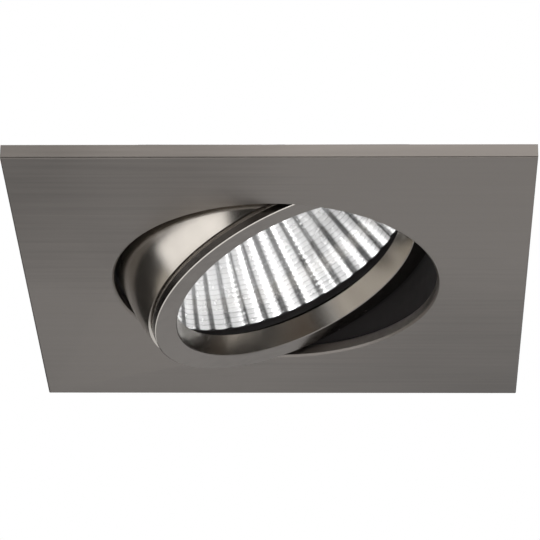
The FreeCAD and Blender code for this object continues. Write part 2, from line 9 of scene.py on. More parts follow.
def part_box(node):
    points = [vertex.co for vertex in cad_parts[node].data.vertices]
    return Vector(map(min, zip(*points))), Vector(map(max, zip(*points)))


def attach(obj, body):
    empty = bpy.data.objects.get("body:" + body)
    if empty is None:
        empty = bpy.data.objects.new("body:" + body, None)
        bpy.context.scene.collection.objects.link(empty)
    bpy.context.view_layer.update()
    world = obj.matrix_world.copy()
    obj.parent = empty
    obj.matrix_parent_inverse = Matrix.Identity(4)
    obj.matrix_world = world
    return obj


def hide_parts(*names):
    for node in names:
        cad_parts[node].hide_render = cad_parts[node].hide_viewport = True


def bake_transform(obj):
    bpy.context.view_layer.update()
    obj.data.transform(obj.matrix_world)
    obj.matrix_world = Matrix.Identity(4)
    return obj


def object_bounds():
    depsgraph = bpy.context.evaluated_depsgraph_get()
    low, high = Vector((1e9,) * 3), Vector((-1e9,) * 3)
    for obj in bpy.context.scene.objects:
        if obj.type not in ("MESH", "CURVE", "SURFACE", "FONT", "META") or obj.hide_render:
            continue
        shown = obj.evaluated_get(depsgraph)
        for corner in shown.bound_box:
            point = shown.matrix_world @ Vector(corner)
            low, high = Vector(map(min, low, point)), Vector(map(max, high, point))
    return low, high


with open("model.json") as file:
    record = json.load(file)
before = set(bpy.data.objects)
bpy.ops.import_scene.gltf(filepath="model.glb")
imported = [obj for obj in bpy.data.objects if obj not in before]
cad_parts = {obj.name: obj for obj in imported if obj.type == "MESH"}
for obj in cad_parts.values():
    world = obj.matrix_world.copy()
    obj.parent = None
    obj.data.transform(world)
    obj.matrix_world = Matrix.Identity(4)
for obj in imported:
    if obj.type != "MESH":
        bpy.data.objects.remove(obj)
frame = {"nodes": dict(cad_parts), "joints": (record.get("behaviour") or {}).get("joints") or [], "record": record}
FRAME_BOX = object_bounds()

bl_info = {
    "name": "Tilting Downlight",
    "version": (1, 0, 0),
    "blender": (4, 5, 0),
    "location": "View3D > Sidebar > Downlight",
    "description": "Dresses a square tilting downlight: plate, ring, reflector lamp, clips and lampholder",
    "category": "Object",
}

MM = 0.001
JOINTS = {joint["name"]: joint for joint in frame["joints"]}
PIVOT = Vector(JOINTS["ring_tilt"]["pos_m"])
LAMP_AXIS = Vector(JOINTS["holder_twist"]["axis"])
TILT = math.atan2(-LAMP_AXIS.x, LAMP_AXIS.z)
PLATE_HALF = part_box("trim_plate")[1][0]
CLIP_SIDES = {"right": 1, "left": -1}
# The bowl's seat and the ring's pocket take a near-black painted shade.
COATING, BACK, SEAT = range(3)      # the bowl's materials, in order
SATIN, BRIGHT, PAINTED_SHADE = range(3)     # the ring's materials, in order
SENSOR_WIDTH, LENS = 36.0, 204.5    # millimetres

# Each glowing card's colour and strength.
CARD_TONES = {
    "bright": ((1.0, 0.985, 0.975), 1.35),
    "front": ((1.0, 0.985, 0.97), 1.75),
    "cream": ((1.0, 0.94, 0.85), 0.5),
    "brown": ((1.0, 0.82, 0.68), 0.10),
}
# Name, azimuths from +Y towards +X, elevations up from level, tone.
CARDS = [
    ("left_light", (-146, -90), (-22, -2), "bright"),
    ("left_cream", (-158, -88), (-40, -22), "cream"),
    ("far_cream", (-88, -40), (-40, -13), "cream"),
    ("left_dark", (-86, 2), (-13, 40), "dark"),
    ("upper_dark", (-148, -86), (-2, 26), "dark"),
    ("front_light", (150, 210), (15, 50), "front"),
    ("front_dark", (182, 212), (-22, 14), "dark"),
    ("front_brown", (144, 182), (-40, 12), "brown"),
    ("right_cream", (114, 144), (-2, 28), "cream"),
    ("right_dark", (2, 112), (2, 45), "dark"),
]
# Name, place and size in metres, power in watts, whether reflections show it.
LIGHTS = [
    ("key", (0.35, -0.75, -0.42), 0.45, 6.5, False),
    ("fill", (-0.7, -0.2, -0.35), 0.6, 8.0, False),
    ("top", (-0.4, -0.5, 1.1), 0.8, 7.0, True),
]


# ---------------------------------------------------------------- settings
def length(name, description, millimetres):
    return bpy.props.FloatProperty(name=name, description=description, default=millimetres * MM,
                                   min=0.0, unit="LENGTH", subtype="DISTANCE")


def colour(name, description, red, green, blue):
    return bpy.props.FloatVectorProperty(name=name, description=description, size=3, min=0.0, max=1.0,
                                         default=(red, green, blue), subtype="COLOR")


class DownlightRing(bpy.types.PropertyGroup):
    pivot_behind_face: length("Pivot depth", "From the ring's front face back to its pivot axis", 8.4)
    ball_radius: length("Ball radius", "Radius of the ring's ball-shaped side", 26.4)
    mouth_radius: length("Mouth radius", "Radius of the mouth at the front face", 21.3)
    lip_radius: length("Lip radius", "Radius of the lip in front of the lamp", 20.2)
    lip_depth: length("Lip depth", "Depth of the lip behind the front face", 3.4)
    pocket_radius: length("Pocket radius", "Radius of the pocket that holds the lamp", 25.3)
    back_depth: length("Back depth", "Depth of the ring's back edge", 15.0)
    rim_step: length("Rim step", "Height of the front rim before its shadow groove", 1.4)


class DownlightLamp(bpy.types.PropertyGroup):
    rim_radius: length("Rim radius", "Outside radius of the lamp's rim", 25.0)
    rim_front: length("Rim front", "Depth of the front of the rim", 5.0)
    rim_back: length("Rim back", "Depth of the back of the rim", 9.4)
    bowl_radius: length("Bowl radius", "Radius of the ribbed bowl at its edge", 22.3)
    bowl_front: length("Bowl front", "Depth of the bowl's edge", 6.8)
    bowl_rise: length("Bowl rise", "From the bowl's edge to its vertex", 27.0)
    bowl_back: length("Bowl back", "Depth of the bowl's flat end", 34.0)
    neck_radius: length("Neck radius", "Radius of the hole for the capsule", 5.0)
    flute_depth: length("Flute depth", "How far a rib's middle lies outside its ridges", 0.36)
    facet_pitch: length("Facet pitch", "Length of each facet along a rib", 0.78)
    facet_bulge: length("Facet bulge", "How far a facet stands in from its ends", 0.026)
    glass_front: length("Glass front", "Depth of the front of the glass", 5.9)
    glass_thickness: length("Glass thickness", "Thickness of the front glass", 0.9)
    wire_radius: length("Clamp wire radius", "Radius of the wire that holds the lamp", 0.6)
    rib_count: bpy.props.IntProperty(name="Ribs", description="Ribs round the bowl", default=40, min=3)


class DownlightClips(bpy.types.PropertyGroup):
    wire_radius: length("Spring wire radius", "Radius of the torsion spring's wire", 0.35)
    coil_radius: length("Coil radius", "Radius of the coil's middle line", 1.42)
    coil_pitch: length("Coil pitch", "From one turn of the coil to the next", 1.15)
    drum_leg: length("Drum leg", "Length of the leg that lies on the drum", 4.2)
    arm_leg: length("Arm leg", "Length of the leg that presses on the arm", 7.6)
    coil_turns: bpy.props.FloatProperty(name="Turns", description="Turns of the coil",
                                        default=3 + 105 / 360, min=1.0)


class DownlightFinish(bpy.types.PropertyGroup):
    plate: colour("Plate", "Satin nickel of the plate and the ring's face", 0.205, 0.188, 0.174)
    polish: colour("Polish", "Bright nickel in the mouth and on the ball side", 0.60, 0.565, 0.52)
    bowl: colour("Bowl", "Metal coating inside the bowl", 0.95, 0.95, 0.95)
    zinc: colour("Zinc", "Plating of clips and screws", 0.55, 0.56, 0.58)
    aluminium: colour("Aluminium", "Pressed drum behind the plate", 0.62, 0.62, 0.62)
    brass: colour("Brass", "Contacts and earth tag", 0.66, 0.50, 0.22)
    ceramic: colour("Ceramic", "Lampholder", 0.62, 0.60, 0.55)
    base: colour("Base", "Ceramic base of the lamp", 0.56, 0.53, 0.48)
    sleeve: colour("Sleeve", "Soft sleeves on the clips", 0.58, 0.57, 0.54)


# ---------------------------------------------------------------- materials
class NodeTree:
    """A short way to add nodes to a tree and to link them."""

    def add(self, kind, **values):
        node = self.tree.nodes.new(kind)
        for label, value in values.items():
            setattr(node, label, value)
        return node

    def link(self, output, target):
        self.tree.links.new(output, target)


class Shader(NodeTree):
    """A Principled material with procedural variation."""

    def __init__(self, name, base, metallic=0.0, roughness=0.5, **sockets):
        self.material = bpy.data.materials.new(name)
        self.material.use_nodes = True
        self.tree = self.material.node_tree
        self.surface = self.tree.nodes["Principled BSDF"]
        self.surface.inputs["Base Color"].default_value = (*base, 1)
        self.surface.inputs["Metallic"].default_value = metallic
        self.surface.inputs["Roughness"].default_value = roughness
        for label, value in sockets.items():
            self.surface.inputs[label.replace("_", " ")].default_value = value
        self.place = self.add("ShaderNodeTexCoord").outputs["Object"]

    def noise(self, scale, detail=4.0, stretch=(1, 1, 1)):
        mapping = self.add("ShaderNodeMapping")
        mapping.inputs["Scale"].default_value = stretch
        texture = self.add("ShaderNodeTexNoise")
        texture.inputs["Scale"].default_value = scale
        texture.inputs["Detail"].default_value = detail
        self.link(self.place, mapping.inputs["Vector"])
        self.link(mapping.outputs["Vector"], texture.inputs["Vector"])
        return texture.outputs["Fac"]

    def ramp(self, source, stops):
        ramp = self.add("ShaderNodeValToRGB")
        while len(ramp.color_ramp.elements) < len(stops):
            ramp.color_ramp.elements.new(1.0)
        for element, (position, shade) in zip(ramp.color_ramp.elements, stops):
            element.position = position
            element.color = (*shade, 1)
        self.link(source, ramp.inputs["Fac"])
        return ramp.outputs["Color"]

    def spread(self, source, low, high):
        scale = self.add("ShaderNodeMapRange")
        scale.inputs["To Min"].default_value = low
        scale.inputs["To Max"].default_value = high
        self.link(source, scale.inputs["Value"])
        return scale.outputs["Result"]

    def vary_colour(self, source, low, high):
        """The colour runs from low to high times the base colour as source goes from 0.3 to 0.7."""
        base = self.surface.inputs["Base Color"].default_value[:3]
        shades = [tuple(min(1.0, part * share) for part in base) for share in (low, high)]
        self.link(self.ramp(source, [(0.3, shades[0]), (0.7, shades[1])]),
                  self.surface.inputs["Base Color"])

    def vary_roughness(self, source, low, high):
        self.link(self.spread(source, low, high), self.surface.inputs["Roughness"])

    def bump(self, source, height, strength=1.0):
        bump = self.add("ShaderNodeBump")
        bump.inputs["Distance"].default_value = height
        bump.inputs["Strength"].default_value = strength
        self.link(source, bump.inputs["Height"])
        self.link(bump.outputs["Normal"], self.surface.inputs["Normal"])


def brushed_nickel(finish, name="brushed_nickel", smoothest=0.30, roughest=0.44):
    """Satin plating with fine straight brush lines."""
    shader = Shader(name, finish.plate, metallic=1.0, roughness=roughest)
    lines = shader.noise(1100, detail=3.0, stretch=(0.03, 1.0, 1.0))
    shader.vary_roughness(lines, smoothest, roughest)
    shader.bump(lines, 0.008 * MM, 0.5)
    # painted reflection: the colour darkens towards two opposite corners of the brushed face
    shader.vary_colour(brushing_and_painted_sheen(shader, lines), 0.56, 1.02)
    return shader.material


def brushing_and_painted_sheen(shader, lines):
    """How bright the brushing looks, with a painted reflection: it falls towards two opposite corners, with soft
    clouds and lines.
    """
    corner_product = 0.0013
    parts = shader.add("ShaderNodeSeparateXYZ")
    corner = shader.add("ShaderNodeMath", operation="MULTIPLY")
    shader.link(shader.place, parts.inputs["Vector"])
    shader.link(parts.outputs["X"], corner.inputs[0])
    shader.link(parts.outputs["Y"], corner.inputs[1])
    painted_sheen_fall = shader.add("ShaderNodeMapRange")
    painted_sheen_fall.inputs["From Min"].default_value = -corner_product
    painted_sheen_fall.inputs["From Max"].default_value = corner_product
    painted_sheen_fall.inputs["To Min"].default_value = 0.55
    painted_sheen_fall.inputs["To Max"].default_value = 0.05
    shader.link(corner.outputs["Value"], painted_sheen_fall.inputs["Value"])
    total = painted_sheen_fall.outputs["Result"]
    for source, weight in ((shader.noise(26, detail=2.0), 0.35), (lines, 0.34)):
        share = shader.add("ShaderNodeMath", operation="MULTIPLY_ADD")
        share.inputs[1].default_value = weight
        shader.link(source, share.inputs[0])
        shader.link(total, share.inputs[2])
        total = share.outputs["Value"]
    return total


def polished_nickel(finish):
    """Bright plating with a faint cast of yellow and soft wipe marks."""
    shader = Shader("polished_nickel", finish.polish, metallic=1.0, roughness=0.20)
    shader.vary_colour(shader.noise(120, detail=3.0), 0.90, 1.06)
    shader.vary_roughness(shader.noise(300, detail=4.0), 0.16, 0.24)
    return shader.material


def recess_painted_shade():
    """Painted shade: a near-black colour put in the recesses inside and behind the ring, where shade falls."""
    shader = Shader("recess_painted_shade", (0.010, 0.009, 0.009), roughness=0.7, Specular_IOR_Level=0.2)
    shader.vary_roughness(shader.noise(500), 0.6, 0.8)
    return shader.material


def bowl_coating_and_painted_shade(finish):
    """Bright coating with painted shade: grey along the ridges between the ribs and pale grey between the facets,
    for the dark reflections there.
    """
    shader = Shader("bowl_coating_and_painted_shade", finish.bowl, metallic=0.5, roughness=0.26)
    ridge, facet_end = (shader.add("ShaderNodeAttribute", attribute_name=label).outputs["Fac"]
                        for label in ("ridge", "facet_end"))
    grey, pale, white = (tuple(part * share for part in finish.bowl) for share in (0.20, 0.60, 1.0))
    # painted shade along the ridges and at the facet ends
    between = shader.ramp(ridge, [(0.0, white), (0.54, white), (0.80, grey)])
    across = shader.ramp(facet_end, [(0.0, (1, 1, 1)), (0.5, (1, 1, 1)), (1.0, pale)])
    shade = shader.add("ShaderNodeMix", data_type="RGBA", blend_type="MULTIPLY")
    shade.inputs["Factor"].default_value = 1.0
    shader.link(between, shade.inputs["A"])
    shader.link(across, shade.inputs["B"])
    shader.link(shade.outputs["Result"], shader.surface.inputs["Base Color"])
    shader.vary_roughness(shader.noise(700, detail=2.0), 0.2, 0.32)
    return shader.material


def bowl_back():
    """Outside of the pressed glass bowl, where the coating shows through."""
    shader = Shader("bowl_back", (0.34, 0.35, 0.37), metallic=0.85, roughness=0.2, Coat_Weight=0.6,
                    Coat_Roughness=0.06)
    shader.vary_colour(shader.noise(60, detail=3.0), 0.86, 1.08)
    return shader.material


def glass():
    """Clear front glass, whose shadow is clear too, so that light reaches the bowl."""
    shader = Shader("front_glass", (1, 1, 1), roughness=0.02, Transmission_Weight=1.0, IOR=1.46,
                    Specular_IOR_Level=0.25)
    shader.vary_roughness(shader.noise(400, detail=2.0), 0.0, 0.03)
    path = shader.add("ShaderNodeLightPath")
    clear = shader.add("ShaderNodeBsdfTransparent")
    choose = shader.add("ShaderNodeMixShader")
    shader.link(path.outputs["Is Shadow Ray"], choose.inputs["Fac"])
    shader.link(shader.surface.outputs["BSDF"], choose.inputs[1])
    shader.link(clear.outputs["BSDF"], choose.inputs[2])
    shader.link(choose.outputs["Shader"], shader.tree.nodes["Material Output"].inputs["Surface"])
    return shader.material


def quartz():
    shader = Shader("quartz", (0.93, 0.93, 0.92), roughness=0.25, Transmission_Weight=0.7, IOR=1.46)
    shader.vary_roughness(shader.noise(900), 0.15, 0.35)
    return shader.material


def zinc_plating(finish):
    shader = Shader("zinc_plating", finish.zinc, metallic=1.0, roughness=0.3)
    shader.vary_colour(shader.noise(420, detail=5.0), 0.84, 1.08)
    shader.vary_roughness(shader.noise(900, detail=4.0), 0.24, 0.4)
    return shader.material


def spring_steel():
    shader = Shader("spring_steel", (0.42, 0.42, 0.43), metallic=1.0, roughness=0.24)
    shader.vary_colour(shader.noise(1500, detail=3.0), 0.85, 1.1)
    return shader.material


def pressed_aluminium(finish):
    """Rolled sheet with draw marks up the drum's side."""
    shader = Shader("pressed_aluminium", finish.aluminium, metallic=1.0, roughness=0.34)
    draw = shader.noise(700, detail=3.0, stretch=(1.0, 1.0, 0.05))
    shader.vary_colour(shader.noise(80, detail=3.0), 0.9, 1.05)
    shader.vary_roughness(draw, 0.28, 0.44)
    shader.bump(draw, 0.006 * MM, 0.4)
    return shader.material


def sheet_brass(finish):
    shader = Shader("sheet_brass", finish.brass, metallic=1.0, roughness=0.28)
    shader.vary_colour(shader.noise(300, detail=4.0), 0.8, 1.08)
    return shader.material


def pressed_ceramic(name, tone):
    """Dry-pressed ceramic: a matt, slightly grainy body."""
    shader = Shader(name, tone, roughness=0.62)
    grain = shader.noise(2200, detail=5.0)
    shader.vary_colour(shader.noise(160, detail=5.0), 0.94, 1.03)
    shader.vary_roughness(grain, 0.55, 0.75)
    shader.bump(grain, 0.02 * MM, 0.5)
    return shader.material


def soft_sleeve(finish):
    shader = Shader("soft_sleeve", finish.sleeve, roughness=0.42, Subsurface_Weight=0.3,
                    Subsurface_Scale=1.0 * MM)
    shader.vary_colour(shader.noise(250), 0.95, 1.03)
    return shader.material


def washer_fibre():
    shader = Shader("washer_fibre", (0.20, 0.10, 0.05), roughness=0.7)
    shader.vary_colour(shader.noise(900, detail=6.0), 0.75, 1.2)
    return shader.material


# ---------------------------------------------------------------- mesh helpers
def new_piece(name, mesh, materials):
    """A piece at the origin, whose place is in its mesh."""
    piece = bpy.data.objects.new(name, mesh)
    bpy.context.scene.collection.objects.link(piece)
    slots = [face.material_index for face in mesh.polygons]
    mesh.materials.clear()
    for material in materials:
        mesh.materials.append(material)
    mesh.polygons.foreach_set("material_index", slots)
    return piece


def mesh_of(name, shape):
    mesh = bpy.data.meshes.new(name)
    shape.to_mesh(mesh)
    shape.free()
    return mesh


def smoothed(mesh, degrees=32):
    mesh.polygons.foreach_set("use_smooth", [True] * len(mesh.polygons))
    mesh.set_sharp_from_angle(angle=math.radians(degrees))
    return mesh


def lamp_place():
    """From level, with depth measured back from the ring's face, to where the lamp is."""
    behind = bpy.context.scene.downlight_ring.pivot_behind_face
    turn = Matrix.Rotation(-TILT, 4, "Y")
    return Matrix.Translation(PIVOT) @ turn @ Matrix.Translation((0, 0, -behind))


def arc_between(radius_at, start, end, steps):
    """Points (radius, depth) of a curved outline, both ends included."""
    depths = [start + (end - start) * i / steps for i in range(steps + 1)]
    return [(radius_at(depth), depth) for depth in depths]


def spun(name, outline, steps, slots, degrees=24):
    """A closed shape turned round Z from an outline of (radius, depth), with a material slot per stretch."""
    on_axis = 1e-7
    shape = bmesh.new()
    rings = []
    for radius, depth in outline:
        count = steps if radius > on_axis else 1
        rings.append([shape.verts.new((radius * math.cos(2 * math.pi * i / steps),
                                       radius * math.sin(2 * math.pi * i / steps), depth))
                      for i in range(count)])
    stretches = list(zip(rings, rings[1:] + rings[:1]))
    for index, (low, high) in enumerate(stretches):
        if len(low) == len(high) == 1:
            continue
        for i in range(steps):
            corners = [low[i % len(low)], low[(i + 1) % len(low)],
                       high[(i + 1) % len(high)], high[i % len(high)]]
            face = shape.faces.new(list(dict.fromkeys(corners)))
            face.material_index = slots[index]
    bmesh.ops.recalc_face_normals(shape, faces=shape.faces)
    return smoothed(mesh_of(name, shape), degrees)


def softened_copy(node, name, materials, edge, degrees=32):
    """The node's shape with joined faces, smooth curves and slightly rounded edges, as a piece of its own."""
    same_point, flat = 0.002 * MM, math.radians(0.5)
    source = frame["nodes"][node]
    shape = bmesh.new()
    shape.from_mesh(source.data)
    bmesh.ops.remove_doubles(shape, verts=shape.verts, dist=same_point)
    bmesh.ops.dissolve_limit(shape, angle_limit=flat, verts=shape.verts, edges=shape.edges)
    mesh = smoothed(mesh_of(name, shape), degrees)
    piece = new_piece(name, mesh, materials)
    bevel = piece.modifiers.new("edges", "BEVEL")
    bevel.width = edge
    bevel.segments = 2
    bevel.limit_method = "ANGLE"
    bevel.angle_limit = math.radians(degrees)
    bevel.harden_normals = True
    return placed(made_plain(piece, materials), node)


def made_plain(piece, materials):
    """The evaluated piece as a plain mesh, with no modifiers left."""
    evaluated = piece.evaluated_get(bpy.context.evaluated_depsgraph_get())
    mesh = bpy.data.meshes.new_from_object(evaluated)
    name = piece.name
    bpy.data.objects.remove(piece)
    mesh.name = name
    return new_piece(name, mesh, materials)


def placed(piece, *nodes):
    """The piece stands for these nodes, which are hidden, and rides on their body."""
    record = frame["record"]
    body = next(b for b, members in record["behaviour"]["bodies"].items() if nodes[0] in members)
    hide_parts(*nodes)
    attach(piece, body)
    return piece


# ---------------------------------------------------------------- node trees
class Tree(NodeTree):
    """A Geometry Nodes tree with named inputs, put on a piece as a modifier."""

    def __init__(self, name):
        self.tree = bpy.data.node_groups.new(name, "GeometryNodeTree")
        self.tree.interface.new_socket("Geometry", in_out="INPUT", socket_type="NodeSocketGeometry")
        self.tree.interface.new_socket("Geometry", in_out="OUTPUT", socket_type="NodeSocketGeometry")
        self.given = self.tree.nodes.new("NodeGroupInput")
        self.result = self.tree.nodes.new("NodeGroupOutput")
        self.values = {}

    def size(self, label, value, kind="NodeSocketFloat"):
        socket = self.tree.interface.new_socket(label, in_out="INPUT", socket_type=kind)
        self.values[socket.identifier] = value
        return self.given.outputs[label]

    def finish(self, geometry, *materials):
        """Realize the geometry and paint it. With more materials, each goes on the faces whose surface value
        is the material's place in the list."""
        realize = self.add("GeometryNodeRealizeInstances")
        self.link(geometry, realize.inputs["Geometry"])
        painted = realize.outputs["Geometry"]
        for number, material in enumerate(materials):
            paint = self.add("GeometryNodeSetMaterial")
            paint.inputs["Material"].default_value = material
            if len(materials) > 1:
                self.link(self.surface_is(number), paint.inputs["Selection"])
            self.link(painted, paint.inputs["Geometry"])
            painted = paint.outputs["Geometry"]
        self.link(painted, self.result.inputs["Geometry"])

    def surface_is(self, number):
        surface = self.add("GeometryNodeInputNamedAttribute", data_type="INT")
        surface.inputs["Name"].default_value = "surface"
        same = self.add("FunctionNodeCompare", data_type="INT", operation="EQUAL")
        first, second = (socket for socket in same.inputs if socket.type == "INT")
        second.default_value = number
        self.link(next(socket for socket in surface.outputs if socket.type == "INT"), first)
        return same.outputs["Result"]

    def put_on(self, piece, materials):
        modifier = piece.modifiers.new("shape", "NODES")
        modifier.node_group = self.tree
        for identifier, value in self.values.items():
            modifier[identifier] = value
        return made_plain(piece, materials)


def wire_along(name, points, radius, material, sides=16):
    """A round wire that follows points, with closed ends."""
    path = bpy.data.meshes.new(name + "_path")
    path.from_pydata(points, [(i, i + 1) for i in range(len(points) - 1)], [])
    tree = Tree(name + "_tree")
    thickness = tree.size("Wire radius", radius)
    around = tree.size("Sides", sides, "NodeSocketInt")
    curve = tree.add("GeometryNodeMeshToCurve")
    circle = tree.add("GeometryNodeCurvePrimitiveCircle", mode="RADIUS")
    sweep = tree.add("GeometryNodeCurveToMesh")
    sweep.inputs["Fill Caps"].default_value = True
    tree.link(tree.given.outputs["Geometry"], curve.inputs["Mesh"])
    tree.link(thickness, circle.inputs["Radius"])
    tree.link(around, circle.inputs["Resolution"])
    tree.link(curve.outputs["Curve"], sweep.inputs["Curve"])
    tree.link(circle.outputs["Curve"], sweep.inputs["Profile Curve"])
    tree.finish(sweep.outputs["Mesh"], material)
    piece = tree.put_on(new_piece(name, path, [material]), [material])
    smoothed(piece.data, degrees=50)
    return piece


# ---------------------------------------------------------------- ring and lamp
def ball_at(depth):
    """Radius of the ring's ball side at a depth behind its face."""
    ring = bpy.context.scene.downlight_ring
    return math.sqrt(ring.ball_radius ** 2 - (ring.pivot_behind_face - depth) ** 2)


def ring_outline():
    """Outline of the ring as stretches of (points, material), from its face in through the mouth and back
    along its ball side."""
    ring, lamp = bpy.context.scene.downlight_ring, bpy.context.scene.downlight_lamp
    soft, slack = 0.12 * MM, 0.05 * MM
    rim_stand, groove_depth, groove_width = 0.1 * MM, 0.3 * MM, 0.4 * MM
    lip_slope, lip_thickness, ledge_width = 0.5 * MM, 0.3 * MM, 1.5 * MM
    wire_seat, bevel_width, bevel_depth, straight = 0.32 * MM, 0.5 * MM, 0.8 * MM, 0.2 * MM
    rim = ball_at(0) + rim_stand
    groove = rim - groove_depth
    step_end = ring.rim_step + groove_width
    lip_back = ring.lip_depth + lip_thickness
    ledge = lamp.rim_radius - ledge_width
    wire_groove = ring.pocket_radius + wire_seat
    groove_top = lamp.rim_back + 2 * lamp.wire_radius + slack
    back_edge = ring.back_depth - bevel_depth
    back_radius = ring.ball_radius - bevel_width
    return [
        ([(rim - soft, 0), (ring.mouth_radius + soft, 0)], SATIN),
        ([(ring.mouth_radius, soft), (ring.lip_radius + soft / 3, ring.lip_depth - soft),
          (ring.lip_radius, ring.lip_depth)], BRIGHT),
        # painted shade: the lip's back, the ledge, the pocket and the wire groove take the near-black colour
        ([(ring.lip_radius + lip_slope, lip_back), (ledge, lip_back),
          (ledge, lamp.rim_front), (ring.pocket_radius, lamp.rim_front),
          (ring.pocket_radius, lamp.rim_back), (wire_groove, lamp.rim_back),
          (wire_groove, groove_top), (ring.pocket_radius, groove_top),
          (ring.pocket_radius, ring.back_depth - soft)], PAINTED_SHADE),
        ([(ring.pocket_radius + soft, ring.back_depth), (back_radius - soft, ring.back_depth),
          (ring.ball_radius - soft / 2, back_edge + soft), (ring.ball_radius, back_edge - soft),
          (ring.ball_radius, ring.pivot_behind_face + straight)], BRIGHT),
        (arc_between(ball_at, ring.pivot_behind_face, step_end, steps=24), BRIGHT),
        ([(groove, step_end - slack), (groove, ring.rim_step + slack),
          (rim - soft / 2, ring.rim_step), (rim, ring.rim_step - soft)], SATIN),
        ([(rim, soft)], BRIGHT),
    ]


def make_ring_mesh(name):
    outline, slots = [], []
    for points, slot in ring_outline():
        outline += points
        slots += [slot] * len(points)
    mesh = spun(name, outline, steps=256, slots=slots)
    mesh.transform(lamp_place())
    return mesh


def bowl_at(depth):
    """Radius of the bowl's ridges at a depth."""
    lamp = bpy.context.scene.downlight_lamp
    return lamp.bowl_radius * math.sqrt(max(0.0, 1 - (depth - lamp.bowl_front) / lamp.bowl_rise))


def bowl_back_at(depth):
    """Radius of the bowl's outside at a depth."""
    lamp = bpy.context.scene.downlight_lamp
    rim_width, rise = 0.8 * MM, 27.9 * MM
    shoulder = lamp.rim_radius - rim_width
    return shoulder * math.sqrt(max(0.0, 1 - (depth - lamp.rim_back) / rise))


def one_rib(name):
    """One rib of the bowl, hollow across and faceted along, with the wall and rim behind it."""
    lamp = bpy.context.scene.downlight_lamp
    across, per_facet, back_steps = 8, 4, 16
    seat_width, chamfer = 0.5 * MM, 0.3 * MM
    half = math.pi / lamp.rib_count
    neck_depth = lamp.bowl_front + lamp.bowl_rise * (1 - (lamp.neck_radius / lamp.bowl_radius) ** 2)
    facets = round((neck_depth - lamp.bowl_front) / lamp.facet_pitch)
    rows = facets * per_facet
    seat_faces = range(rows + 1, rows + 4)
    seat = lamp.bowl_radius + seat_width
    rim = lamp.rim_radius
    plain = [(seat, lamp.bowl_front), (seat, lamp.rim_front), (rim - chamfer, lamp.rim_front),
             (rim, lamp.rim_front + chamfer), (rim, lamp.rim_back - chamfer),
             (rim - chamfer, lamp.rim_back)]
    plain += arc_between(bowl_back_at, lamp.rim_back, lamp.bowl_back, back_steps)
    plain += [(lamp.neck_radius, lamp.bowl_back)]
    shape = bmesh.new()
    ridge, facet_end = (shape.verts.layers.float.new(label) for label in ("ridge", "facet_end"))
    surface = shape.faces.layers.int.new("surface")
    columns = []
    for i in range(across + 1):
        phase = 2 * i / across - 1
        angle = phase * half
        column = []
        for row in range(rows, -1, -1):
            depth = lamp.bowl_front + (neck_depth - lamp.bowl_front) * row / rows
            radius = bowl_at(depth)
            share = radius / lamp.bowl_radius
            hollow = lamp.flute_depth * share * (1 - phase ** 2)
            along = (row % per_facet) / per_facet
            bulge = lamp.facet_bulge * 4 * along * (1 - along)
            column.append((radius + hollow - bulge, depth))
        column += plain
        columns.append([shape.verts.new((r * math.cos(angle), r * math.sin(angle), d)) for r, d in column])
        for place, corner in enumerate(columns[-1]):
            corner[ridge] = abs(phase)
            corner[facet_end] = 1.0 if (rows - place) % per_facet == 0 else 0.0
    count = len(columns[0])
    for left, right in zip(columns, columns[1:]):
        for i in range(count):
            j = (i + 1) % count
            face = shape.faces.new((left[i], right[i], right[j], left[j]))
            if i < rows:
                face[surface] = COATING
            # painted shade: the seat between the bowl's edge and the rim takes the near-black colour
            elif i in seat_faces:
                face[surface] = SEAT
            else:
                face[surface] = BACK
    return mesh_of(name, shape)


def make_bowl(name, materials):
    """The rib, set round the lamp's axis as often as the bowl has ribs, and joined."""
    lamp = bpy.context.scene.downlight_lamp
    same_point = 0.003 * MM
    rib = new_piece(name, one_rib(name + "_rib"), materials)
    tree = Tree("ribs_round_axis")
    number = tree.size("Ribs", lamp.rib_count, "NodeSocketInt")
    points = tree.add("GeometryNodePoints")
    index = tree.add("GeometryNodeInputIndex")
    share = tree.add("ShaderNodeMath", operation="DIVIDE")
    angle = tree.add("ShaderNodeMath", operation="MULTIPLY")
    angle.inputs[1].default_value = 2 * math.pi
    turn = tree.add("ShaderNodeCombineXYZ")
    copies = tree.add("GeometryNodeInstanceOnPoints")
    tree.link(number, points.inputs["Count"])
    tree.link(index.outputs["Index"], share.inputs[0])
    tree.link(number, share.inputs[1])
    tree.link(share.outputs["Value"], angle.inputs[0])
    tree.link(angle.outputs["Value"], turn.inputs["Z"])
    tree.link(points.outputs["Points"], copies.inputs["Points"])
    tree.link(tree.given.outputs["Geometry"], copies.inputs["Instance"])
    tree.link(turn.outputs["Vector"], copies.inputs["Rotation"])
    tree.finish(copies.outputs["Instances"], *materials)
    bowl = tree.put_on(rib, materials)
    shape = bmesh.new()
    shape.from_mesh(bowl.data)
    bmesh.ops.remove_doubles(shape, verts=shape.verts, dist=same_point)
    bmesh.ops.recalc_face_normals(shape, faces=shape.faces)
    shape.to_mesh(bowl.data)
    shape.free()
    bowl.data.transform(lamp_place() @ Matrix.Rotation(math.pi / lamp.rib_count, 4, "Z"))
    smoothed(bowl.data, degrees=14)
    return bowl


def glass_mesh(name):
    """The front glass, a disc whose edge takes the near-black painted shade."""
    lamp = bpy.context.scene.downlight_lamp
    overlap, soft = 0.45 * MM, 0.2 * MM
    pane, edge = 0, 1
    radius = lamp.bowl_radius + overlap
    front, back = lamp.glass_front, lamp.glass_front + lamp.glass_thickness
    outline = [(0, front), (radius - soft, front), (radius, front + soft), (radius, back - soft / 2),
               (radius - soft / 2, back), (0, back)]
    mesh = spun(name, outline, steps=192, slots=[pane, edge, edge, edge, pane, pane])
    mesh.transform(lamp_place())
    return mesh


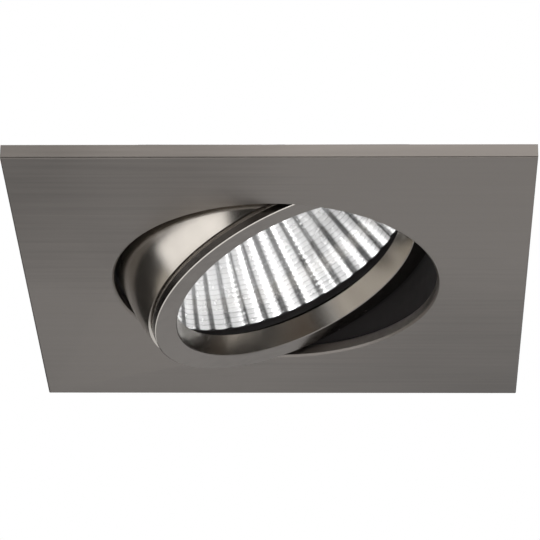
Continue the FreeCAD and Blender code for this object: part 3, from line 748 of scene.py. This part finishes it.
# ---------------------------------------------------------------- clips
def coil_point(turn):
    """Point of the coil's middle line after this many turns, measured from the middle of the pin."""
    clips = bpy.context.scene.downlight_clips
    angle = 2 * math.pi * turn
    return Vector((-clips.coil_radius * math.cos(angle), clips.coil_pitch * (turn - clips.coil_turns / 2),
                   clips.coil_radius * math.sin(angle)))


def spring_points(side):
    """The spring's middle line: a leg down the drum, the coil, and a leg out onto the arm."""
    clips = bpy.context.scene.downlight_clips
    steps_per_turn, small = 30, 0.001
    steps = round(clips.coil_turns * steps_per_turn)
    coil = [coil_point(clips.coil_turns * i / steps) for i in range(steps + 1)]
    away = (coil_point(0) - coil_point(small)).normalized()
    onward = (coil_point(clips.coil_turns) - coil_point(clips.coil_turns - small)).normalized()
    down = [coil[0] + away * clips.drum_leg * share for share in (1.0, 0.66, 0.33)]
    out = [coil[-1] + onward * clips.arm_leg * share for share in (0.25, 0.5, 0.75, 1.0)]
    pin = Vector(JOINTS["clip_right_swing"]["pos_m"])
    turn = Matrix.Rotation(0 if side > 0 else math.pi, 4, "Z")
    return [turn @ (pin + point) for point in down + coil + out]


# ---------------------------------------------------------------- operators
class DownlightOperator:
    bl_options = {"REGISTER", "UNDO"}

    def execute(self, context):
        self.make(context.scene, context.scene.downlight_finish)
        return {"FINISHED"}


class DOWNLIGHT_OT_plate(DownlightOperator, bpy.types.Operator):
    """Square trim plate with its cast spigots"""
    bl_idname = "downlight.plate"
    bl_label = "Trim plate"

    def make(self, scene, finish):
        softened_copy("trim_plate", "trim_plate_satin", [brushed_nickel(finish)], 0.06 * MM)


class DOWNLIGHT_OT_drum(DownlightOperator, bpy.types.Operator):
    """Mounting drum, pivot rivets, friction washers and earth terminal"""
    bl_idname = "downlight.drum"
    bl_label = "Drum and fixings"

    def make(self, scene, finish):
        zinc, brass = zinc_plating(finish), sheet_brass(finish)
        drum = softened_copy("mounting_drum", "drum", [pressed_aluminium(finish), recess_painted_shade()],
                             0.12 * MM)
        self.paint_bore_shade(drum.data)
        softened_copy("pivot_rivets", "rivets", [zinc], 0.06 * MM)
        softened_copy("friction_washers", "washers", [washer_fibre()], 0.06 * MM)
        softened_copy("earth_tag", "earth_blade", [brass], 0.1 * MM)
        softened_copy("earth_rivet", "earth_head", [zinc], 0.06 * MM)

    def paint_bore_shade(self, mesh):
        """Painted shade: the drum's bore takes the near-black colour, so that nothing shines behind the ring."""
        gap, black = 1.2 * MM, 1
        bore = bpy.context.scene.downlight_ring.ball_radius + gap
        for face in mesh.polygons:
            if face.center.xy.length < bore and face.normal.xy.dot(face.center.xy) < 0:
                face.material_index = black


class DOWNLIGHT_OT_ring(DownlightOperator, bpy.types.Operator):
    """Ball-sided ring that tilts and holds the lamp"""
    bl_idname = "downlight.ring"
    bl_label = "Tilt ring"

    def make(self, scene, finish):
        face = brushed_nickel(finish, "ring_nickel", 0.20, 0.30)
        materials = [face, polished_nickel(finish), recess_painted_shade()]
        placed(new_piece("ring", make_ring_mesh("ring"), materials), "tilt_ring")


class DOWNLIGHT_OT_bowl(DownlightOperator, bpy.types.Operator):
    """Pressed glass bowl with narrow faceted ribs"""
    bl_idname = "downlight.bowl"
    bl_label = "Reflector bowl"

    def make(self, scene, finish):
        materials = [bowl_coating_and_painted_shade(finish), bowl_back(), recess_painted_shade()]
        placed(make_bowl("bowl", materials), "lamp_reflector")


class DOWNLIGHT_OT_lamp(DownlightOperator, bpy.types.Operator):
    """Front glass, capsule, ceramic base, pins and clamp wire"""
    bl_idname = "downlight.lamp"
    bl_label = "Lamp parts"

    def make(self, scene, finish):
        panes = [glass(), recess_painted_shade()]
        placed(new_piece("glass_disc", glass_mesh("glass_disc"), panes), "lamp_front_glass")
        softened_copy("lamp_capsule", "capsule", [quartz()], 0.15 * MM)
        softened_copy("lamp_base", "base", [pressed_ceramic("base_ceramic", finish.base)], 0.2 * MM)
        softened_copy("lamp_pins", "pins", [zinc_plating(finish)], 0.1 * MM)
        self.clamp_wire(scene)

    def clamp_wire(self, scene):
        """Nearly a full hoop in the ring's groove, whose two ends turn back as ears to pinch."""
        lamp, ring = scene.downlight_lamp, scene.downlight_ring
        in_groove, gap, inset, lift, ear = 0.27 * MM, math.radians(13), 0.35 * MM, 0.5 * MM, 3.9 * MM
        circle = ring.pocket_radius + in_groove - lamp.wire_radius
        depth = lamp.rim_back + lamp.wire_radius
        steps = 120
        hoop = []
        for i in range(steps + 1):
            angle = gap + (2 * math.pi - 2 * gap) * i / steps
            hoop.append(Vector((circle * math.cos(angle), circle * math.sin(angle), depth)))
        ends = []
        for point in (hoop[0], hoop[-1]):
            foot = point * ((circle - inset) / circle)
            foot.z = depth + lift
            ends.append([foot + Vector((0, 0, share * ear)) for share in (1.0, 0.7, 0.3, 0.12, 0.0)])
        points = ends[0] + hoop + ends[1][::-1]
        place = lamp_place()
        wire = wire_along("clamp_wire", [place @ point for point in points], lamp.wire_radius,
                          spring_steel())
        placed(wire, "lamp_clamp_wire")


class DOWNLIGHT_OT_clips(DownlightOperator, bpy.types.Operator):
    """Ceiling clips: brackets, screws, pins, arms, sleeves and torsion springs"""
    bl_idname = "downlight.clips"
    bl_label = "Ceiling clips"

    def make(self, scene, finish):
        zinc, sleeve, steel = zinc_plating(finish), soft_sleeve(finish), spring_steel()
        softened_copy("bracket_screws", "screws", [zinc], 0.04 * MM)
        for side, sign in CLIP_SIDES.items():
            softened_copy("clip_bracket_" + side, "bracket_" + side, [zinc], 0.1 * MM)
            softened_copy("clip_pin_" + side, "hinge_pin_" + side, [zinc], 0.05 * MM)
            softened_copy("clip_arm_" + side, "arm_" + side, [zinc], 0.1 * MM)
            softened_copy("clip_pad_" + side, "sleeve_" + side, [sleeve], 0.12 * MM)
            self.spring(scene, side, sign, steel)

    def spring(self, scene, side, sign, steel):
        """A spring whose coil winds between its leg on the drum and its leg on the arm."""
        clips, blended_part = scene.downlight_clips, 0.46
        node, joint = "clip_spring_" + side, JOINTS["clip_" + side + "_swing"]
        spring = wire_along("spring_" + side, spring_points(sign), clips.wire_radius, steel)
        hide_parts(node)
        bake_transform(spring)


class DOWNLIGHT_OT_holder(DownlightOperator, bpy.types.Operator):
    """Bayonet lampholder with its cap, contacts and screws"""
    bl_idname = "downlight.holder"
    bl_label = "Lampholder"

    def make(self, scene, finish):
        ceramic = pressed_ceramic("holder_ceramic", finish.ceramic)
        softened_copy("holder_body", "holder_front", [ceramic], 0.15 * MM)
        softened_copy("holder_cap", "holder_back", [ceramic], 0.15 * MM)
        softened_copy("holder_contacts", "contacts", [sheet_brass(finish)], 0.05 * MM)
        softened_copy("holder_screws", "cap_screws", [zinc_plating(finish)], 0.05 * MM)


# ---------------------------------------------------------------- stage
def plain_material(name, base, roughness=0.8):
    return Shader(name, base, roughness=roughness).material


def glowing(name, tone, strength):
    material = bpy.data.materials.new(name)
    material.use_nodes = True
    tree = material.node_tree
    tree.nodes.clear()
    light = tree.nodes.new("ShaderNodeEmission")
    light.inputs["Color"].default_value = (*tone, 1)
    light.inputs["Strength"].default_value = strength
    output = tree.nodes.new("ShaderNodeOutputMaterial")
    tree.links.new(light.outputs["Emission"], output.inputs["Surface"])
    return material


def white_from_below(name):
    """Pure white from its lower side, and nothing from its upper side."""
    material = glowing(name, (1, 1, 1), 1.0)
    tree = material.node_tree
    side = tree.nodes.new("ShaderNodeNewGeometry")
    clear = tree.nodes.new("ShaderNodeBsdfTransparent")
    choose = tree.nodes.new("ShaderNodeMixShader")
    output = tree.nodes["Material Output"]
    light = output.inputs["Surface"].links[0].from_node
    tree.links.new(side.outputs["Backfacing"], choose.inputs["Fac"])
    tree.links.new(light.outputs["Emission"], choose.inputs[1])
    tree.links.new(clear.outputs["BSDF"], choose.inputs[2])
    tree.links.new(choose.outputs["Shader"], output.inputs["Surface"])
    return material


def hide_from(piece, *rays):
    """The rays named here don't see the piece."""
    for ray in rays:
        setattr(piece, "visible_" + ray, False)


class DOWNLIGHT_OT_stage(DownlightOperator, bpy.types.Operator):
    """Pale floor, white ceiling edge, cards for the polished parts, soft light and the camera"""
    bl_idname = "downlight.stage"
    bl_label = "Stage"

    def make(self, scene, finish):
        scene.view_settings.view_transform = "Standard"
        self.floor()
        self.ceiling_edge()
        self.world(scene)
        self.cards()
        self.lights()
        self.camera(scene)

    def floor(self):
        size, height = 6.0, -0.60
        mesh = bpy.data.meshes.new("floor")
        corners = [(-size, -size, height), (size, -size, height), (size, size, height), (-size, size, height)]
        mesh.from_pydata(corners, [], [(0, 1, 2, 3)])
        new_piece("floor", mesh, [plain_material("pale_floor", (0.80, 0.80, 0.80))])

    def ceiling_edge(self):
        """The white ceiling round the plate, seen only from below. Each side lies in one plane with the eye
        of a level view from that side, so such a view sees just its edge."""
        margin, elevation, reach = 1.03, math.radians(3), 80 * MM
        low, high = (Vector(corner) for corner in FRAME_BOX)
        centre, radius = (low + high) / 2, (high - low).length / 2
        half_view = math.atan(SENSOR_WIDTH / 2 / LENS)
        distance = radius / math.sin(half_view) * margin
        half = PLATE_HALF
        eye_height = centre.z + distance * math.sin(elevation)
        slope = eye_height / (distance * math.cos(elevation) - half)
        around = [(1, 1), (-1, 1), (-1, -1), (1, -1)]
        corners = [(x * half, y * half, 0) for x, y in around]
        corners += [(x * (half + reach), y * (half + reach), reach * slope) for x, y in around]
        faces = [(i, (i + 1) % 4, 4 + (i + 1) % 4, 4 + i) for i in range(4)]
        mesh = bpy.data.meshes.new("ceiling_edge")
        mesh.from_pydata(corners, [], faces)
        edge = new_piece("ceiling_edge", mesh, [white_from_below("ceiling_white")])
        hide_from(edge, "diffuse", "glossy", "transmission", "shadow")

    def world(self, scene):
        """White where it is seen or mirrored, and a plain level of light elsewhere."""
        world = bpy.data.worlds.new("studio")
        scene.world = world
        world.use_nodes = True
        tree = world.node_tree
        tree.nodes.clear()
        output = tree.nodes.new("ShaderNodeOutputWorld")
        seen, given = (tree.nodes.new("ShaderNodeBackground") for _ in range(2))
        for background, strength in ((seen, 1.0), (given, 0.8)):
            background.inputs["Color"].default_value = (1, 1, 1, 1)
            background.inputs["Strength"].default_value = strength
        path = tree.nodes.new("ShaderNodeLightPath")
        first, second = (tree.nodes.new("ShaderNodeMath") for _ in range(2))
        first.operation = second.operation = "MAXIMUM"
        mix = tree.nodes.new("ShaderNodeMixShader")
        links = tree.links
        links.new(path.outputs["Is Camera Ray"], first.inputs[0])
        links.new(path.outputs["Is Glossy Ray"], first.inputs[1])
        links.new(first.outputs["Value"], second.inputs[0])
        links.new(path.outputs["Is Transmission Ray"], second.inputs[1])
        links.new(second.outputs["Value"], mix.inputs["Fac"])
        links.new(given.outputs["Background"], mix.inputs[1])
        links.new(seen.outputs["Background"], mix.inputs[2])
        links.new(mix.outputs["Shader"], output.inputs["Surface"])

    def cards(self):
        """Cards that only reflections see."""
        tones = {name: glowing(name + "_card", *tone) for name, tone in CARD_TONES.items()}
        tones["dark"] = plain_material("dark_card", (0.008, 0.007, 0.006), roughness=1.0)
        for name, azimuths, elevations, tone in CARDS:
            self.card(name, azimuths, elevations, tones[tone])

    def card(self, name, azimuths, elevations, material):
        """Part of an upright wall round the origin, bent in steps of about four degrees."""
        distance, step = 0.7, 4
        first, last = azimuths
        count = max(1, round((last - first) / step))
        angles = [math.radians(first + (last - first) * i / count) for i in range(count + 1)]
        corners, faces = [], []
        for angle in angles:
            for elevation in elevations:
                height = distance * math.tan(math.radians(elevation))
                corners.append((distance * math.sin(angle), distance * math.cos(angle), height))
        for i in range(count):
            faces.append((2 * i, 2 * i + 2, 2 * i + 3, 2 * i + 1))
        mesh = bpy.data.meshes.new(name)
        mesh.from_pydata(corners, [], faces)
        card = new_piece(name, mesh, [material])
        hide_from(card, "camera", "diffuse", "transmission", "shadow")

    def lights(self):
        """Square lights turned to the origin. Reflections show the cards below, and not the lower lights."""
        for name, place, size, power, mirrored in LIGHTS:
            light = bpy.data.lights.new(name, "AREA")
            light.size = size
            light.energy = power
            lamp = bpy.data.objects.new(name, light)
            lamp.location = place
            lamp.rotation_euler = (-Vector(place)).to_track_quat("-Z", "Y").to_euler()
            lamp.visible_glossy = mirrored
            bpy.context.scene.collection.objects.link(lamp)

    def camera(self, scene):
        """The camera fitted to the picture."""
        data = bpy.data.cameras.new("camera")
        data.sensor_width, data.lens = SENSOR_WIDTH, LENS
        data.clip_start, data.clip_end = 0.01, 50.0
        camera = bpy.data.objects.new("camera", data)
        yaw, elevation, roll = math.radians(-2.135), math.radians(28.15), math.radians(0.995)
        place = Vector((15.6, -444.0, -237.5)) * MM
        forward = Vector((math.sin(yaw) * math.cos(elevation), math.cos(yaw) * math.cos(elevation),
                          math.sin(elevation)))
        right = Vector((math.cos(yaw), -math.sin(yaw), 0))
        up = right.cross(forward)
        rolled = right * math.cos(roll) + up * math.sin(roll)
        above = up * math.cos(roll) - right * math.sin(roll)
        turn = Matrix((rolled, above, -forward)).transposed()
        camera.matrix_world = Matrix.Translation(place) @ turn.to_4x4()
        scene.collection.objects.link(camera)
        scene.camera = camera


class DOWNLIGHT_PT_panel(bpy.types.Panel):
    """Steps that dress the downlight"""
    bl_idname = "DOWNLIGHT_PT_panel"
    bl_label = "Downlight"
    bl_space_type = "VIEW_3D"
    bl_region_type = "UI"
    bl_category = "Downlight"

    def draw(self, context):
        for operator in OPERATORS:
            self.layout.operator(operator.bl_idname)
        for group in GROUPS:
            settings = getattr(context.scene, group)
            box = self.layout.box()
            for label in settings.__annotations__:
                box.prop(settings, label)


GROUPS = {
    "downlight_ring": DownlightRing,
    "downlight_lamp": DownlightLamp,
    "downlight_clips": DownlightClips,
    "downlight_finish": DownlightFinish,
}
OPERATORS = [
    DOWNLIGHT_OT_stage,
    DOWNLIGHT_OT_plate,
    DOWNLIGHT_OT_drum,
    DOWNLIGHT_OT_ring,
    DOWNLIGHT_OT_bowl,
    DOWNLIGHT_OT_lamp,
    DOWNLIGHT_OT_clips,
    DOWNLIGHT_OT_holder,
]


def register():
    for cls in [*GROUPS.values(), *OPERATORS, DOWNLIGHT_PT_panel]:
        bpy.utils.register_class(cls)
    for name, group in GROUPS.items():
        setattr(bpy.types.Scene, name, bpy.props.PointerProperty(type=group))


def unregister():
    for name in GROUPS:
        delattr(bpy.types.Scene, name)
    for cls in [DOWNLIGHT_PT_panel, *reversed(OPERATORS), *GROUPS.values()]:
        bpy.utils.unregister_class(cls)


def main():
    register()
    for operator in OPERATORS:
        step = operator.bl_idname.split(".")[1]
        getattr(bpy.ops.downlight, step)()


if __name__ == "__main__":
    main()
